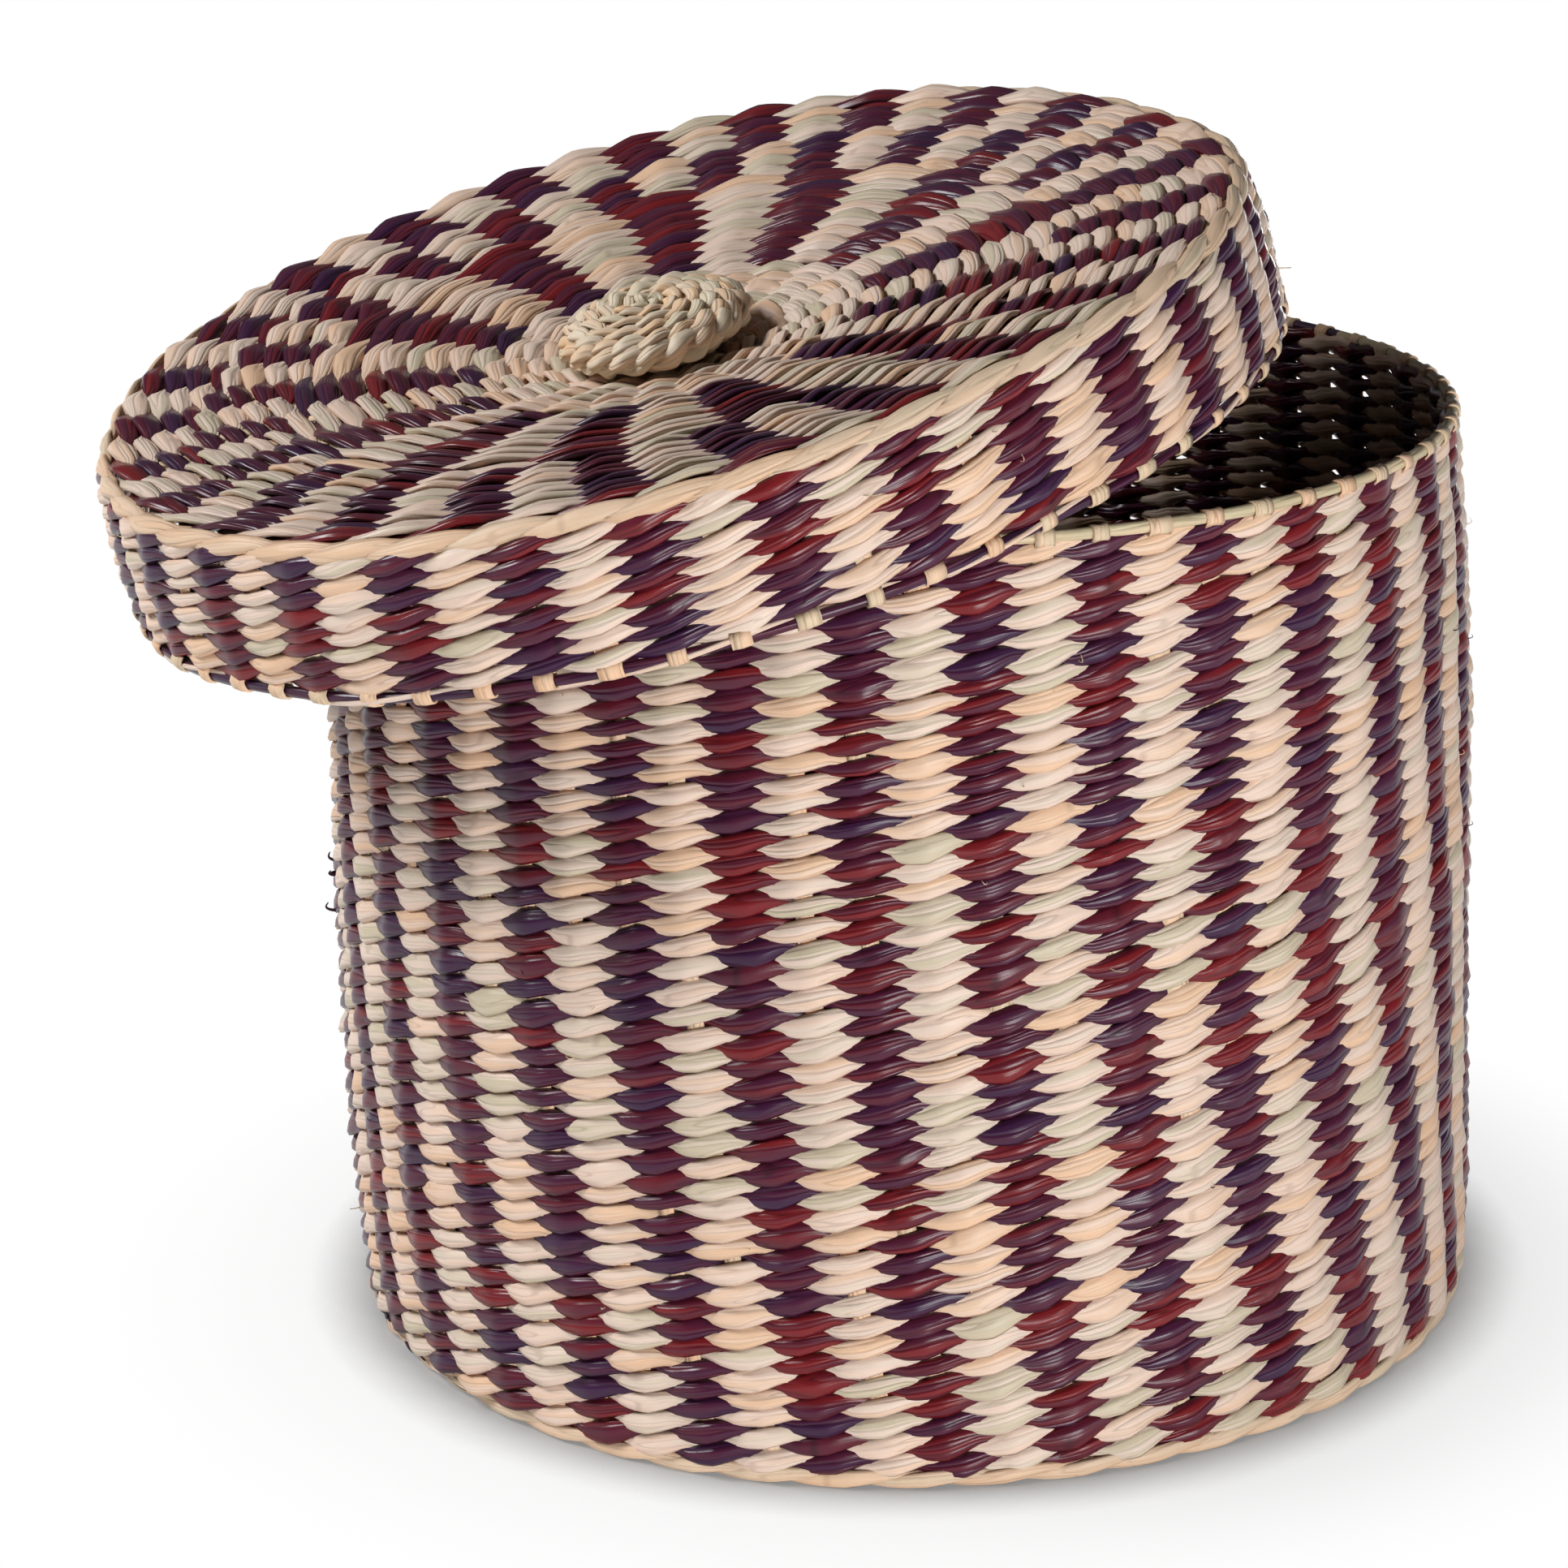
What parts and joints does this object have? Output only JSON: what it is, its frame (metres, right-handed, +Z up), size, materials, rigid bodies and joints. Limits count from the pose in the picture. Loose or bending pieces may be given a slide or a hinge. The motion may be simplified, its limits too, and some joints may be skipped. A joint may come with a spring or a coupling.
{
  "type": "lidded storage basket",
  "caption": "Round lidded storage basket twined from natural and dyed sedge, with its loose lid set ajar across the rim and a woven knob.",
  "frame": {"origin": "on the floor, under the middle of the basket's base", "axes": "+Z up; +X to the right of the pictured front and +Y to the back, so that the lid leans towards -X"},
  "size_m": [0.306, 0.2785, 0.2643],
  "materials": {
    "natural_weave": "dried sedge strands, twined, satin",
    "striped_weave": "natural and aubergine-dyed sedge strands, twined in pairs, satin",
    "natural_cord": "two natural sedge strands twisted into a cord, satin",
    "stake_strand": "flat dried sedge stakes, matte",
    "rim_rod": "rolled sedge rod, satin"
  },
  "bodies": {
    "basket": {"base_rosette": "natural_weave", "base_weave": "striped_weave", "foot_cord": "natural_cord", "wall_weave": "striped_weave", "basket_stakes": "stake_strand", "basket_rim_rod": "rim_rod"},
    "lid": {"lid_rosette": "natural_weave", "lid_top_weave": "striped_weave", "lid_cord": "natural_cord", "lid_skirt_weave": "striped_weave", "lid_stakes": "stake_strand", "lid_rim_rod": "rim_rod", "knob_stalk": "natural_weave", "knob_cap": "natural_weave"}
  },
  "joints": [
    {"name": "lid_lift", "type": "slide", "parent": "basket", "child": "lid", "axis": [0, 0, 1], "range_m": [0, 0.12]}
  ]
}
